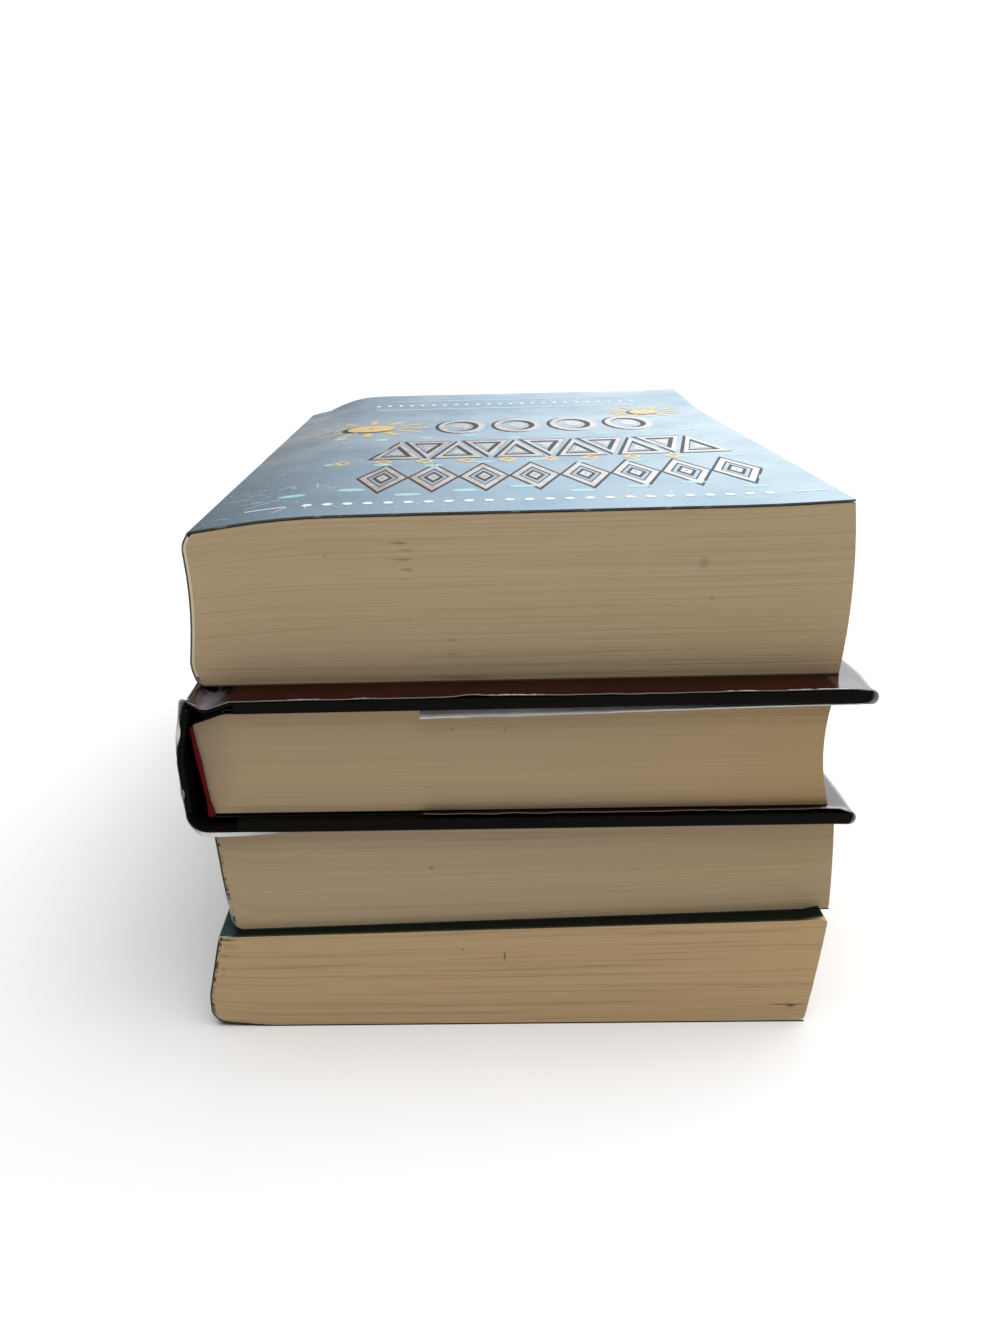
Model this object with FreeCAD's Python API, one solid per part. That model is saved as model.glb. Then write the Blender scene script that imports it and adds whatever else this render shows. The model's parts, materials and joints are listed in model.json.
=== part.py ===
import FreeCAD, Part
import math
import os
from FreeCAD import Placement, Rotation, Vector

# A stack of four books lying flat, in millimetres: a bottom paperback, a lower paperback,
# a hardcover in its dust jacket and a thick paperback on top.
# Each book is drawn in its own frame: spine near x = 0, fore edge at +x, tail at y = 0,
# head at +y, underside on z = 0. It is then laid on the slanting top of the book below.

# Height of all four page blocks, from tail to head
trim_height = 209.6

# Paper and card
cover_card = 0.4
binding_glue = 0.5
glue_end_gap = 0.6
tightest_bend = 0.15
longest_round_share = 0.96

# Bottom book, a paperback that leans towards its fore edge
bottom_width = 140.6
bottom_spine_thickness = 24.7
bottom_fore_thickness = 28.6
bottom_spine_lean = 2.9
bottom_fore_lean = 2.6
bottom_fore_bulge = 0.2
bottom_spine_bulge = 0.25
bottom_bulge_height = 8.5
bottom_bulge_round = 13.0
bottom_top_fold = 0.9
bottom_lower_fold = 3.9
bottom_rise_length = 13.0
bottom_rise = 1.5
bottom_rise_round = 40.0

# Lower book, a paperback that leans towards its spine
lower_width = 139.3
lower_spine_thickness = 26.3
lower_fore_thickness = 24.5
lower_spine_lean = -2.2
lower_fore_lean = -0.9
lower_fore_bulge = 0.2
lower_spine_bulge = 0.2
lower_spine_round = 40.0
lower_top_fold = 1.6
lower_bottom_fold = 2.8
lower_offset_x = 6.0
lower_offset_y = 2.1
lower_yaw = 0.74

# Hardcover: boards, covering and paper layers
hardcover_spine_thickness = 30.8
hardcover_fore_thickness = 32.2
hardcover_width = 145.0
jacket_paper = 0.2
case_cloth = 0.25
board_thickness = 2.0
inlay_thickness = 0.8
endpaper = 0.2
endpaper_margin = 3.0
endpaper_fold_share = 0.45
flap_clearance = 0.2
lining_thickness = 0.4
block_tail_recess = 2.4
block_head_recess = 4.0
board_height = block_tail_recess + trim_height + block_head_recess
board_width = 136.4
front_joint_width = 8.6
back_joint_width = 7.3
joint_ease = 0.6
board_edge_round = 0.8
turn_in = 15.0
hardcover_offset_x = -4.3
hardcover_offset_y = -2.1
hardcover_yaw = -0.74

# Hardcover: joint grooves and the leaning spine
groove_depth = 1.8
groove_centre = 3.0
back_groove_depth = 0.3
shoulder_x = -1.1
shoulder_rise = 1.0
shoulder_round = 1.4
spine_bulge_x = -3.9
spine_bulge_drop = 11.5
spine_bulge_round = 30.0
spine_foot_x = -2.7
spine_foot_fold = 4.6

# Hardcover: page block inside the case
block_spine_foot_x = 2.4
block_spine_top_x = -0.4
block_shoulder_length = 6.8
block_shoulder_drop = 2.4
block_shoulder_round = 6.0
block_corner_round = 0.5
block_fore_foot_x = 139.2
block_fore_top_x = 137.6
block_fore_hollow = 1.5
bead_radius = 0.55
bead_setback = 0.15
band_tape = 0.3
band_tape_length = 8.0

# Hardcover: dust jacket
flap_width = 96.0
front_loop = 0.5
back_loop = 0.5
groove_round = 2.2

# Top book, a thick paperback whose cover droops near the spine
top_width = 139.7
top_spine_thickness = 37.1
top_fore_thickness = 38.6
droop_length = 19.0
droop_ease = 11.0
droop_at_tail = 2.75
droop_at_head = 4.2
crease_setback = 7.0
crease_seam = 0.2
cover_clearance = 0.3
curl_length = 14.0
curl_ease = 11.0
curl_at_tail = 0.55
curl_at_head = 0.3
top_fore_foot = 0.2
top_fore_bulge = 1.2
top_fold = 0.7
upper_bulge_x = -1.7
upper_bulge_drop = 2.9
upper_bulge_round = 5.0
waist_x = -0.6
waist_height = 19.0
waist_round = 90.0
lower_bulge_x = -2.5
lower_bulge_height = 4.6
lower_bulge_round = 9.0
top_foot_x = -1.0
top_foot_fold = 2.2
top_offset_x = 1.1
top_offset_y = 9.5
top_yaw = 0.0


# Flat outlines


def turn_between(before, corner, after):
    """Signed turn in radians at a corner, positive to the left."""
    first = math.atan2(corner[1] - before[1], corner[0] - before[0])
    second = math.atan2(after[1] - corner[1], after[0] - corner[0])
    return math.remainder(second - first, 2 * math.pi)


def fit_rounds(corners):
    """Limit each round so that it and its neighbours fit on the straight run between them."""
    reach_of = []
    for index in range(1, len(corners) - 1):
        turn = turn_between(corners[index - 1], corners[index], corners[index + 1])
        reach_of.append(math.tan(abs(turn) / 2))
    reach_of = [0] + reach_of + [0]
    share = [1.0] * len(corners)
    for index, (start, end) in enumerate(zip(corners, corners[1:])):
        length = math.hypot(end[0] - start[0], end[1] - start[1])
        needed = start[2] * reach_of[index] + end[2] * reach_of[index + 1]
        if needed > longest_round_share * length:
            part = longest_round_share * length / needed
            share[index] = min(share[index], part)
            share[index + 1] = min(share[index + 1], part)
    return [(x, z, radius * part) for (x, z, radius), part in zip(corners, share)]


def radius_for_ease(ease, turn):
    """Radius of the round whose straight neighbours end at a distance ease from the corner."""
    return ease / math.tan(abs(turn) / 2)


def shift_chain(corners, distances):
    """Move each stretch of an open chain to its left by its own distance."""
    stretches = []
    for start, end in zip(corners, corners[1:]):
        length = math.hypot(end[0] - start[0], end[1] - start[1])
        stretches.append(((start[1] - end[1]) / length, (end[0] - start[0]) / length))
    moved = []
    last = len(corners) - 1
    for index, (x, z, radius) in enumerate(corners):
        if index in (0, last):
            side = 0 if index == 0 else last - 1
            normal = stretches[side]
            moved.append((x + normal[0] * distances[side], z + normal[1] * distances[side], 0))
            continue
        one, two = stretches[index - 1], stretches[index]
        near, far = distances[index - 1], distances[index]
        cosine = one[0] * two[0] + one[1] * two[1]
        spread = 1 - cosine * cosine
        along_one = (near - far * cosine) / spread
        along_two = (far - near * cosine) / spread
        turn = turn_between(corners[index - 1], corners[index], corners[index + 1])
        change = max(near, far) if turn < 0 else -max(near, far)
        moved.append((
            x + one[0] * along_one + two[0] * along_two,
            z + one[1] * along_one + two[1] * along_two,
            max(radius + change, tightest_bend),
        ))
    return moved


def chain_edges(corners, y=0.0):
    """Straight runs joined by tangent arcs, from the first corner to the last."""
    edges = []
    here = Vector(corners[0][0], y, corners[0][1])
    for index in range(1, len(corners) - 1):
        corner = Vector(corners[index][0], y, corners[index][1])
        back = (Vector(corners[index - 1][0], y, corners[index - 1][1]) - corner).normalize()
        ahead = (Vector(corners[index + 1][0], y, corners[index + 1][1]) - corner).normalize()
        half = back.getAngle(ahead) / 2
        radius = corners[index][2]
        reach = radius / math.tan(half)
        middle = (back + ahead).normalize() * (radius / math.sin(half) - radius)
        arc_start = corner + back * reach
        arc_end = corner + ahead * reach
        edges.append(Part.LineSegment(here, arc_start).toShape())
        edges.append(Part.Arc(arc_start, corner + middle, arc_end).toShape())
        here = arc_end
    edges.append(Part.LineSegment(here, Vector(corners[-1][0], y, corners[-1][1])).toShape())
    return edges


def band(corners, thickness, y=0.0):
    """Outline of a sheet whose outer face follows the chain, thickness to the left of it."""
    inner = shift_chain(corners, [thickness] * (len(corners) - 1))
    first = Part.LineSegment(Vector(inner[0][0], y, inner[0][1]), Vector(corners[0][0], y, corners[0][1]))
    last = Part.LineSegment(Vector(corners[-1][0], y, corners[-1][1]), Vector(inner[-1][0], y, inner[-1][1]))
    edges = [first.toShape()] + chain_edges(corners, y) + [last.toShape()]
    return Part.Wire(edges + chain_edges(inner[::-1], y))


def polygon(points):
    """Closed outline with straight sides."""
    corners = [Vector(x, 0, z) for x, z, radius in points]
    return Part.makePolygon(corners + corners[:1])


def block_outline(corners, fore_bulge, y=0.0):
    """Closed outline of a page block: the chain, then the curved fore edge back to its start."""
    top = Vector(corners[0][0], y, corners[0][1])
    foot = Vector(corners[-1][0], y, corners[-1][1])
    middle = (top + foot) / 2 + Vector(fore_bulge, 0, 0)
    return Part.Wire(chain_edges(corners, y) + [Part.Arc(foot, middle, top).toShape()])


def prism(outline, start, length):
    """A flat outline run along the book."""
    face = Part.Face(outline)
    face.translate(Vector(0, start, 0))
    return face.extrude(Vector(0, length, 0))


def run_tail_to_head(outline_at, length):
    """Straight rulings between the outline at the tail and the one at the head."""
    return Part.makeLoft([outline_at(0.0), outline_at(length)], True, True)


# Paperbacks


def spine_part(corners, first, last, gap):
    """The stretch of a cover chain along the spine, stopped a gap short of its two folds."""
    part = list(corners[first:last + 1])
    for corner, inner, end in ((first, first + 1, 0), (last, last - 1, -1)):
        x, z, radius = corners[corner]
        to_x, to_z = corners[inner][0] - x, corners[inner][1] - z
        turn = turn_between(corners[corner - 1], corners[corner], corners[corner + 1])
        share = (radius * math.tan(abs(turn) / 2) + gap) / math.hypot(to_x, to_z)
        part[end] = (x + to_x * share, z + to_z * share, 0)
    return part


def paperback(name, cover_chain, spine_first, spine_last, fore_bulge):
    """Cover, glue and page block of a paperback that has the same section all along."""
    distances = [cover_card] * (len(cover_chain) - 1)
    for index in range(spine_first, spine_last):
        distances[index] = cover_card + binding_glue
    glue_chain = spine_part(cover_chain, spine_first, spine_last, glue_end_gap)
    glue_chain = shift_chain(glue_chain, [cover_card] * (len(glue_chain) - 1))
    block = block_outline(shift_chain(cover_chain, distances), fore_bulge)
    return {
        name + "_cover": prism(band(cover_chain, cover_card), 0, trim_height),
        name + "_spine_glue": prism(band(glue_chain, binding_glue), 0, trim_height),
        name + "_pages": prism(block, 0, trim_height),
    }


def bottom_cover_chain():
    """Cover of the bottom book: its lower spine fold lifts a little off the table."""
    fore_middle = bottom_spine_lean / 2 - bottom_spine_bulge + bottom_width - bottom_fore_bulge
    return fit_rounds([
        (fore_middle + bottom_fore_lean / 2, bottom_fore_thickness, 0),
        (bottom_spine_lean, bottom_spine_thickness, bottom_top_fold),
        (-bottom_spine_bulge, bottom_bulge_height, bottom_bulge_round),
        (0, bottom_rise, bottom_lower_fold),
        (bottom_rise_length, 0, bottom_rise_round),
        (fore_middle - bottom_fore_lean / 2, 0, 0),
    ])


def lower_cover_chain():
    """Cover of the lower book: its spine leans out towards the top."""
    spine_middle = lower_spine_lean / 2 - lower_spine_bulge
    fore_middle = spine_middle + lower_width - lower_fore_bulge
    return fit_rounds([
        (fore_middle + lower_fore_lean / 2, lower_fore_thickness, 0),
        (lower_spine_lean, lower_spine_thickness, lower_top_fold),
        (spine_middle, lower_spine_thickness / 2, lower_spine_round),
        (0, 0, lower_bottom_fold),
        (fore_middle - lower_fore_lean / 2, 0, 0),
    ])


# Top book


def top_line(x):
    """Upper face of the top book before it droops."""
    return top_spine_thickness + (top_fore_thickness - top_spine_thickness) * x / top_width


def between(tail_value, head_value, y):
    """A size that changes steadily from tail to head."""
    return tail_value + (head_value - tail_value) * y / trim_height


def top_fold_corner(y):
    """The fold between the front cover and the spine."""
    return (0.0, top_line(0) - between(droop_at_tail, droop_at_head, y), top_fold)


def front_chain(y):
    """Outer face of the front cover, from the fore edge to the fold at the spine."""
    fore = (top_width, top_line(top_width) + between(curl_at_tail, curl_at_head, y), 0)
    curl = (top_width - curl_length, top_line(top_width - curl_length))
    bend = (droop_length, top_line(droop_length))
    fold = top_fold_corner(y)
    curl_radius = radius_for_ease(curl_ease, turn_between(fore, curl, bend))
    bend_radius = radius_for_ease(droop_ease, turn_between(curl, bend, fold))
    return [fore, curl + (curl_radius,), bend + (bend_radius,), fold]


def crease_point(y, setback):
    """Point on the outer face, a distance setback from the fold."""
    bend, fold = front_chain(y)[2:4]
    length = math.hypot(bend[0] - fold[0], bend[1] - fold[1])
    share = setback / length
    return (fold[0] + (bend[0] - fold[0]) * share, fold[1] + (bend[1] - fold[1]) * share, 0)


def spine_chain(y):
    """Outer face of the spine and the back cover, after the fold."""
    fold = top_fold_corner(y)
    return [
        (upper_bulge_x, fold[1] - upper_bulge_drop, upper_bulge_round),
        (waist_x, waist_height, waist_round),
        (lower_bulge_x, lower_bulge_height, lower_bulge_round),
        (top_foot_x, 0, top_foot_fold),
        (top_width + top_fore_foot, 0, 0),
    ]


def whole_cover_chain(y):
    """Outer face of the whole cover, as if it had no crease."""
    return fit_rounds(front_chain(y) + spine_chain(y))


def top_front_cover_outline(y):
    """Front cover from its crease to the fore edge."""
    return band(whole_cover_chain(y)[:3] + [crease_point(y, crease_setback)], cover_card, y)


def top_back_cover_outline(y):
    """Hinge strip, spine and back cover."""
    start = crease_point(y, crease_setback - crease_seam)
    return band([start] + whole_cover_chain(y)[3:], cover_card, y)


def top_glue_outline(y):
    """Glue along the spine."""
    chain = spine_part(whole_cover_chain(y), 3, 7, glue_end_gap)
    return band(shift_chain(chain, [cover_card] * 4), binding_glue, y)


def top_pages_outline(y):
    """Page block inside the cover: it clears the front cover and sits on the back cover."""
    over = cover_card + cover_clearance
    behind = cover_card + binding_glue
    chain = shift_chain(whole_cover_chain(y), [over] * 3 + [behind] * 4 + [cover_card])
    return block_outline(chain, top_fore_bulge, y)


def top_book():
    """The top book: its section changes from tail to head, because the droop deepens."""
    return {
        "top_book_front_cover": run_tail_to_head(top_front_cover_outline, trim_height),
        "top_book_spine_and_back_cover": run_tail_to_head(top_back_cover_outline, trim_height),
        "top_book_spine_glue": run_tail_to_head(top_glue_outline, trim_height),
        "top_book_pages": run_tail_to_head(top_pages_outline, trim_height),
    }


# Hardcover, drawn by its depth below the jacket on each side

front_start = front_joint_width + joint_ease
back_start = back_joint_width + joint_ease
front_fore = front_joint_width + board_width
back_fore = back_joint_width + board_width
cloth_depth = jacket_paper
board_depth = cloth_depth + case_cloth
turn_in_depth = board_depth + board_thickness
pastedown_depth = turn_in_depth + case_cloth
flap_depth = pastedown_depth + endpaper + flap_clearance
flyleaf_depth = flap_depth + jacket_paper + flap_clearance
block_depth = flyleaf_depth + endpaper
edge_round = board_edge_round - case_cloth


def hardcover_top(x, depth):
    """Height at a depth below the upper face of the jacket."""
    slope = (hardcover_fore_thickness - hardcover_spine_thickness) / hardcover_width
    return hardcover_spine_thickness + slope * x - depth


def upper(x, depth, radius=0.0):
    """Corner at a depth below the upper face."""
    return (x, hardcover_top(x, depth), radius)


def spine_corners(depth):
    """Joint, groove, shoulder, bulge and foot, at a depth inside the jacket's printed face."""
    outer = fit_rounds([
        upper(hardcover_width, 0),
        upper(front_joint_width, 0, groove_round),
        upper(groove_centre, groove_depth, groove_round),
        upper(shoulder_x, -shoulder_rise, shoulder_round),
        (spine_bulge_x, hardcover_top(0, spine_bulge_drop), spine_bulge_round),
        (spine_foot_x, 0, spine_foot_fold),
        (hardcover_width, 0, 0),
    ])
    if depth > 0:
        outer = shift_chain(outer, [depth] * (len(outer) - 1))
    return outer[1:-1]


def case_chain():
    """Outer face of the covering, from the turn-in on the front board to the one on the back."""
    depth = cloth_depth
    front_edge = front_fore + case_cloth
    back_edge = back_fore + case_cloth
    return fit_rounds([
        upper(front_edge - turn_in, pastedown_depth),
        upper(front_edge, pastedown_depth, board_edge_round),
        upper(front_edge, depth, board_edge_round),
    ] + spine_corners(depth) + [
        (groove_centre, depth + back_groove_depth, groove_round),
        (back_joint_width, depth, groove_round),
        (back_edge, depth, board_edge_round),
        (back_edge, pastedown_depth, board_edge_round),
        (back_edge - turn_in, pastedown_depth, 0),
    ])


def board_outline(is_front):
    """Section of a board: rounded at its fore edge, square at the joint."""
    if is_front:
        chain = [
            upper(front_start, turn_in_depth),
            upper(front_fore, turn_in_depth, edge_round),
            upper(front_fore, board_depth, edge_round),
            upper(front_start, board_depth),
        ]
    else:
        chain = [
            (back_start, board_depth, 0),
            (back_fore, board_depth, edge_round),
            (back_fore, turn_in_depth, edge_round),
            (back_start, turn_in_depth, 0),
        ]
    edges = chain_edges(chain)
    start, end = chain[-1], chain[0]
    closing = Part.LineSegment(Vector(start[0], 0, start[1]), Vector(end[0], 0, end[1]))
    return Part.Wire(edges + [closing.toShape()])


def inlay_chain():
    """Outer face of the spine inlay, on the inside of the covering."""
    chain = spine_part(case_chain(), 5, 7, glue_end_gap)
    return shift_chain(chain, [case_cloth] * 2)


def joint_layers():
    """The turn-in where it crosses the two joints, between each board and the inlay."""
    chain = case_chain()
    inlay_start, _, inlay_end = spine_part(chain, 5, 7, glue_end_gap)
    front = [upper(front_start, cloth_depth)] + chain[3:6] + [inlay_start]
    back = [inlay_end] + chain[7:10] + [(back_start, cloth_depth, 0)]
    layers = []
    for joint in (front, back):
        inside = shift_chain(joint, [case_cloth] * (len(joint) - 1))
        layers.append(band(inside, case_cloth))
    return layers


def case_covering():
    """Black covering: wrapped round boards and inlay, turned in along all four edges."""
    length = board_height + 2 * case_cloth
    covering = prism(band(case_chain(), case_cloth), -case_cloth, length)
    inside_inlay = shift_chain(inlay_chain(), [inlay_thickness] * 2)
    layers = [band(inside_inlay, case_cloth)]
    front_layer = [
        upper(front_start, turn_in_depth),
        upper(front_fore - edge_round, turn_in_depth),
        upper(front_fore - edge_round, pastedown_depth),
        upper(front_start, pastedown_depth),
    ]
    back_layer = [
        (back_start, turn_in_depth, 0),
        (back_fore - edge_round, turn_in_depth, 0),
        (back_fore - edge_round, pastedown_depth, 0),
        (back_start, pastedown_depth, 0),
    ]
    layers += [polygon(front_layer), polygon(back_layer)] + joint_layers()
    ends = [board_outline(True), board_outline(False), band(inlay_chain(), inlay_thickness)]
    pieces = []
    for start in (-case_cloth, board_height - turn_in):
        pieces += [prism(layer, start, turn_in + case_cloth) for layer in layers]
    for start in (-case_cloth, board_height):
        pieces += [prism(end, start, case_cloth) for end in ends]
    return covering.fuse(pieces).removeSplitter()


def jacket_chain():
    """Printed face of the jacket, from the end of the front flap to the end of the back flap."""
    front_edge = front_fore + case_cloth + jacket_paper + front_loop
    back_edge = back_fore + case_cloth + jacket_paper + back_loop
    flap_face = flap_depth + jacket_paper
    return fit_rounds([
        upper(front_edge - flap_width, flap_face),
        upper(front_edge, flap_face, flap_face),
        upper(front_edge, 0, flap_face),
    ] + spine_corners(0) + [
        (back_edge, 0, flap_face),
        (back_edge, flap_face, flap_face),
        (back_edge - flap_width, flap_face, 0),
    ])


def endpaper_outline(is_front):
    """Folded sheet: pastedown on the board, flyleaf on the pages, folded at the joint."""
    fold = (block_depth - pastedown_depth) * endpaper_fold_share
    if is_front:
        fold_x = block_spine_top_x + block_shoulder_length
        fore = block_fore_top_x
        chain = [
            upper(fore, block_depth),
            upper(fold_x, block_depth, fold),
            upper(fold_x, pastedown_depth, fold),
            upper(front_fore - endpaper_margin, pastedown_depth),
        ]
        return band(chain[::-1], endpaper)
    fold_x = block_spine_foot_x + endpaper
    chain = [
        (block_fore_foot_x, block_depth, 0),
        (fold_x, block_depth, fold),
        (fold_x, pastedown_depth, fold),
        (back_fore - endpaper_margin, pastedown_depth, 0),
    ]
    return band(chain, endpaper)


def hardcover_block_chain():
    """Page block: shoulder under the front joint, leaning spine, flat underside."""
    shoulder_end = block_spine_top_x + block_shoulder_length
    return fit_rounds([
        upper(block_fore_top_x, block_depth),
        upper(shoulder_end, block_depth, block_shoulder_round),
        upper(block_spine_top_x, block_depth + block_shoulder_drop, block_corner_round),
        (block_spine_foot_x, block_depth, block_corner_round),
        (block_fore_foot_x, block_depth, 0),
    ])


def block_spine():
    """The two ends of the block's spine face, foot and top."""
    top, foot = hardcover_block_chain()[2:4]
    return Vector(foot[0], 0, foot[1]), Vector(top[0], 0, top[1])


def spine_strip(thickness, start, length):
    """A strip glued on the block's spine."""
    foot, top = block_spine()
    along = (top - foot).normalize()
    out = Vector(-along.z, 0, along.x)
    low = foot + along * glue_end_gap
    high = top - along * glue_end_gap
    outline = Part.makePolygon([low, high, high + out * thickness, low + out * thickness, low])
    return prism(outline, start, length)


def end_band(end_y, outward):
    """Red bead over the end of the block's spine, on a tape glued behind it."""
    foot, top = block_spine()
    along = (top - foot).normalize()
    out = Vector(-along.z, 0, along.x)
    bead_y = end_y + outward * bead_radius
    centre = foot + out * bead_setback + Vector(0, bead_y, 0)
    bead = Part.makeCylinder(bead_radius, (top - foot).Length, centre, along)
    tape_start = min(bead_y, end_y - outward * band_tape_length)
    tape = spine_strip(band_tape, tape_start, band_tape_length + bead_radius)
    return bead.fuse(tape).removeSplitter()


def hardcover():
    """The case-bound book in its jacket."""
    tail = block_tail_recess
    lining_start = tail + band_tape_length
    lining_length = trim_height - 2 * band_tape_length
    jacket_length = board_height + 2 * case_cloth
    block = block_outline(hardcover_block_chain(), -block_fore_hollow)
    return {
        "hardcover_pages": prism(block, tail, trim_height),
        "hardcover_front_board": prism(board_outline(True), 0, board_height),
        "hardcover_back_board": prism(board_outline(False), 0, board_height),
        "hardcover_spine_inlay": prism(band(inlay_chain(), inlay_thickness), 0, board_height),
        "hardcover_case_covering": case_covering(),
        "hardcover_spine_lining": spine_strip(lining_thickness, lining_start, lining_length),
        "hardcover_tailband": end_band(tail, -1),
        "hardcover_headband": end_band(tail + trim_height, 1),
        "hardcover_front_endpaper": prism(endpaper_outline(True), tail, trim_height),
        "hardcover_back_endpaper": prism(endpaper_outline(False), tail, trim_height),
        "hardcover_dust_jacket": prism(band(jacket_chain(), jacket_paper), -case_cloth, jacket_length),
    }


# The stack


def laid_at(x, y, yaw):
    """Where a book lies on the plane below it."""
    return Placement(Vector(x, y, 0), Rotation(Vector(0, 0, 1), yaw))


def plane_over(place, corners):
    """The slanting plane on a book, through two corners of its upper face, fore edge first."""
    fore, spine = corners
    slant = math.degrees(math.atan2(fore[1] - spine[1], fore[0] - spine[0]))
    height = spine[1] - spine[0] * (fore[1] - spine[1]) / (fore[0] - spine[0])
    return place.multiply(Placement(Vector(0, 0, height), Rotation(Vector(0, 1, 0), -slant)))


bottom_place = Placement()
on_bottom = plane_over(bottom_place, bottom_cover_chain()[:2])
lower_place = on_bottom.multiply(laid_at(lower_offset_x, lower_offset_y, lower_yaw))
on_lower = plane_over(lower_place, lower_cover_chain()[:2])
hardcover_place = on_lower.multiply(laid_at(hardcover_offset_x, hardcover_offset_y, hardcover_yaw))
on_hardcover = plane_over(hardcover_place, [upper(hardcover_width, 0), upper(0, 0)])
top_place = on_hardcover.multiply(laid_at(top_offset_x, top_offset_y, top_yaw))

books = [
    (paperback("bottom_book", bottom_cover_chain(), 1, 3, bottom_fore_bulge), bottom_place),
    (paperback("lower_book", lower_cover_chain(), 1, 3, lower_fore_bulge), lower_place),
    (hardcover(), hardcover_place),
    (top_book(), top_place),
]
solids = {}
for pieces, place in books:
    for name, shape in pieces.items():
        shape.Placement = place.multiply(shape.Placement)
        solids[name] = shape

# The origin is the middle of the stack's footprint, on the table
bounds = Part.makeCompound(list(solids.values())).optimalBoundingBox()
to_origin = Vector(-bounds.Center.x, -bounds.Center.y, 0)
os.makedirs("parts", exist_ok=True)
for name, shape in solids.items():
    shape.translate(to_origin)
    shape.exportStep("parts/" + name + ".step")
    print(name, "solids", len(shape.Solids), "valid", shape.isValid(), "cm3 %.2f" % (shape.Volume / 1000))

# The crease that the front cover turns about
crease_tail, crease_head = crease_point(0, crease_setback), crease_point(trim_height, crease_setback)
hinge_tail = top_place.multVec(Vector(crease_tail[0], 0, crease_tail[1])) + to_origin
hinge_head = top_place.multVec(Vector(crease_head[0], trim_height, crease_head[1])) + to_origin
hinge_direction = (hinge_tail - hinge_head).normalize()
print("hinge tail", tuple(round(value, 4) for value in hinge_tail))
print("hinge direction", tuple(round(value, 6) for value in hinge_direction))
print("size", round(bounds.XLength, 2), round(bounds.YLength, 2), round(bounds.ZLength, 2))
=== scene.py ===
import math

import bmesh
import bpy
from mathutils import Matrix, Vector, noise
from mathutils.bvhtree import BVHTree
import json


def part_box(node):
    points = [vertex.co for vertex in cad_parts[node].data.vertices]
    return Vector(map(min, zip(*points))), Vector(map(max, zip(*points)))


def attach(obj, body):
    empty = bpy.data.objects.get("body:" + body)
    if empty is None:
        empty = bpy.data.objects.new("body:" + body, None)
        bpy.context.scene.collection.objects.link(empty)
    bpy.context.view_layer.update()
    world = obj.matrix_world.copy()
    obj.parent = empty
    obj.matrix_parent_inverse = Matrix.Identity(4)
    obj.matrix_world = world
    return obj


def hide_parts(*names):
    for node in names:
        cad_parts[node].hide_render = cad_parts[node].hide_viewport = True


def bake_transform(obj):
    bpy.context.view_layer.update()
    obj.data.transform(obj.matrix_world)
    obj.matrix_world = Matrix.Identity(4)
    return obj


MM = 0.001
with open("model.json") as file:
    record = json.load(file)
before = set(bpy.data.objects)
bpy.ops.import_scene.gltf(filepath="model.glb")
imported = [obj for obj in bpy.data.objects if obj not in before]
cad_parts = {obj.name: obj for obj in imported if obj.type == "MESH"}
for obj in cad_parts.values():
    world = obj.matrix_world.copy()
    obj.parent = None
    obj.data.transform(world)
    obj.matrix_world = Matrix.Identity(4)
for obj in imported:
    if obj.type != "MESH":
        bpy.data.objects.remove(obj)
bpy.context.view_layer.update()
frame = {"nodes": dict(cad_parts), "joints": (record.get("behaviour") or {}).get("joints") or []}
UP = Vector((0, 0, 1))

# Colours, as linear light
PAGE_TOP_BOOK = (0.475, 0.355, 0.215, 1)
PAGE_HARDCOVER = (0.42, 0.31, 0.185, 1)
PAGE_LOWER_BOOK = (0.43, 0.323, 0.196, 1)
PAGE_BOTTOM_BOOK = (0.5, 0.352, 0.188, 1)
STAIN_BROWN = (0.2, 0.11, 0.035, 1)
SKY_BLUE = (0.155, 0.305, 0.43, 1)
SKY_PAINTED_SHADE = (0.085, 0.135, 0.175, 1)
SKY_PAINTED_SHEEN = (0.28, 0.45, 0.54, 1)
INK_WHITE = (0.8, 0.84, 0.85, 1)
INK_TURQUOISE = (0.3, 0.6, 0.6, 1)
INK_BROWN = (0.055, 0.03, 0.022, 1)
INK_SLATE = (0.06, 0.075, 0.09, 1)
FOIL_SILVER = (0.62, 0.6, 0.57, 1)
FOIL_GOLD = (0.9, 0.62, 0.16, 1)
FOIL_PAINTED_DIM_REFLECTION = (0.42, 0.27, 0.17, 1)
CARD_WHITE = (0.72, 0.7, 0.64, 1)
CARD_EDGE = (0.045, 0.048, 0.045, 1)
JACKET_MAROON_IN_PAINTED_SHADE = (0.0175, 0.004, 0.002, 1)
JACKET_WORN_IN_PAINTED_SHADE = (0.028, 0.007, 0.004, 1)
JACKET_RUBBED_AND_SHEEN = (0.17, 0.155, 0.19, 1)
JACKET_WHITE = (0.7, 0.69, 0.67, 1)
JACKET_CUT = (0.2, 0.182, 0.172, 1)
FLAP_PAINTED_SHADE_GREY = (0.1, 0.085, 0.075, 1)
CASE_BLACK = (0.004, 0.0032, 0.0024, 1)
BOARD_GREY = (0.16, 0.14, 0.12, 1)
BAND_RED = (0.13, 0.004, 0.007, 1)
ENDPAPER_DARK = (0.012, 0.009, 0.008, 1)
OLIVE_CARD = (0.06, 0.055, 0.035, 1)
GREEN_CARD_IN_PAINTED_SHADE = (0.0035, 0.006, 0.0035, 1)
GREEN_PAINTED_LIGHT = (0.03, 0.065, 0.06, 1)
GREEN_RUBBED = (0.05, 0.1, 0.09, 1)
GLUE_CREAM = (0.6, 0.52, 0.36, 1)
GLUE_AGED = (0.36, 0.27, 0.155, 1)


# Building materials


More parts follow.
